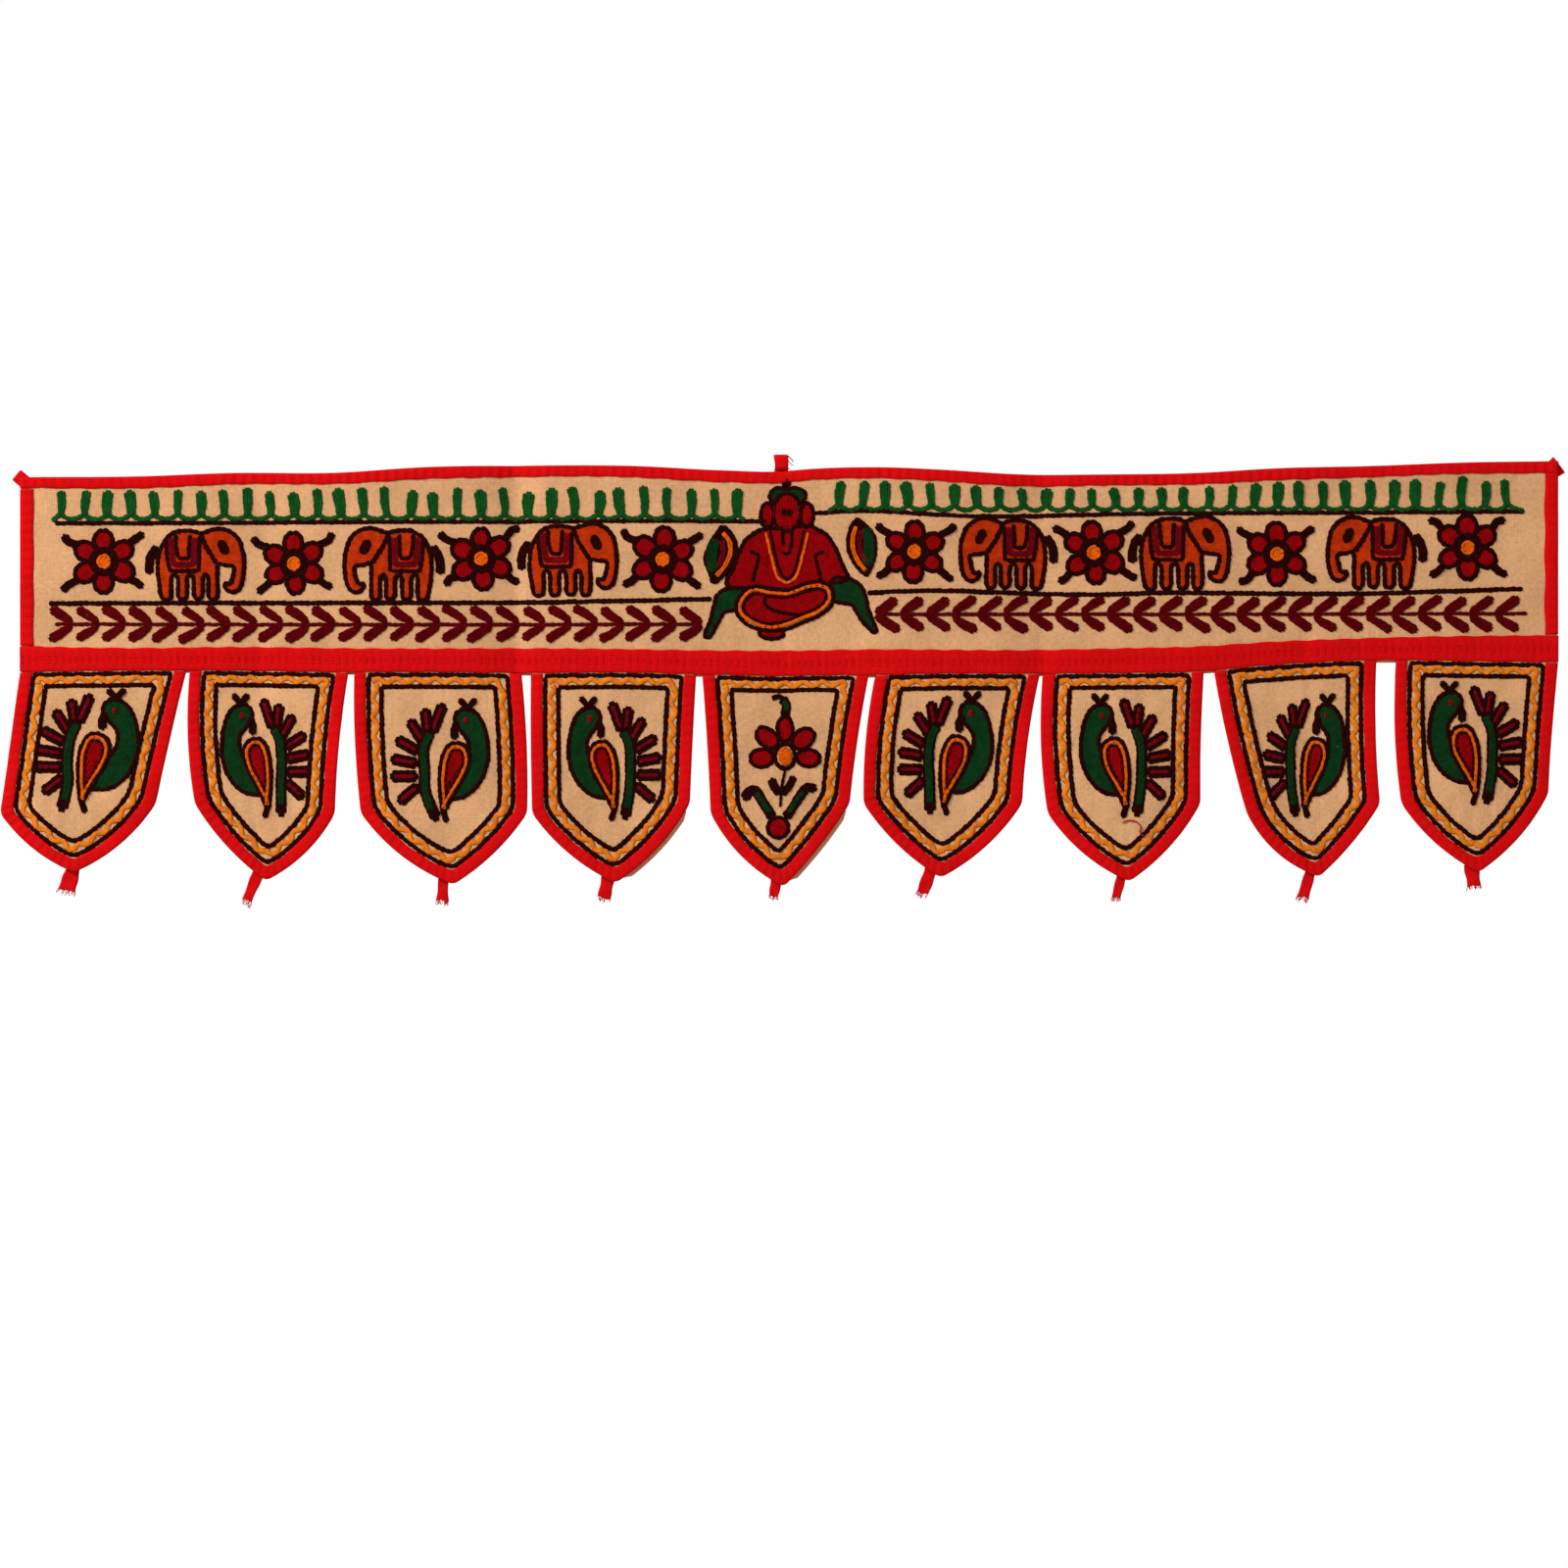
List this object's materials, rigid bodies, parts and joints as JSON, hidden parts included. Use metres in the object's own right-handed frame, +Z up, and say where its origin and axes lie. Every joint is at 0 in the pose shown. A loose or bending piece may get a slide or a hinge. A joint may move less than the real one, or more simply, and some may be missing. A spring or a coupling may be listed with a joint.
{
  "type": "toran door hanging",
  "caption": "Embroidered cotton valance hung over a doorway: a long bound panel with a row of pointed, lined flags ending in small tails.",
  "frame": {"origin": "on the top edge, at the foot of the middle loop", "axes": "+X to the right as seen from the front, +Z up, and the embroidered front faces -Y"},
  "size_m": [1.0228, 0.0128, 0.2958],
  "materials": {
    "cream_cotton": "brushed cream cotton, plain weave, matt, carrying chain stitch embroidery in wool and cotton yarn",
    "red_cotton": "thin red cotton strip, plain weave, slightly puckered along its running stitches",
    "peach_cotton": "thin peach cotton lining, plain weave, raw edges"
  },
  "bodies": {
    "root": {"main_panel": "cream_cotton", "top_binding": "red_cotton", "side_binding_left": "red_cotton", "side_binding_right": "red_cotton", "band": "red_cotton", "flag_1_cloth": "cream_cotton", "flag_1_binding": "red_cotton", "flag_1_tail": "red_cotton", "flag_2_cloth": "cream_cotton", "flag_2_binding": "red_cotton", "flag_2_tail": "red_cotton", "flag_3_cloth": "cream_cotton", "flag_3_binding": "red_cotton", "flag_3_tail": "red_cotton", "flag_4_cloth": "cream_cotton", "flag_4_binding": "red_cotton", "flag_4_tail": "red_cotton", "flag_5_cloth": "cream_cotton", "flag_5_binding": "red_cotton", "flag_5_tail": "red_cotton", "flag_6_cloth": "cream_cotton", "flag_6_binding": "red_cotton", "flag_6_tail": "red_cotton", "flag_7_cloth": "cream_cotton", "flag_7_binding": "red_cotton", "flag_7_tail": "red_cotton", "flag_8_cloth": "cream_cotton", "flag_8_binding": "red_cotton", "flag_8_tail": "red_cotton", "flag_9_cloth": "cream_cotton", "flag_9_binding": "red_cotton", "flag_9_tail": "red_cotton", "lining": "peach_cotton", "middle_loop": "red_cotton", "corner_tab_left": "red_cotton", "corner_tab_right": "red_cotton"}
  },
  "joints": []
}
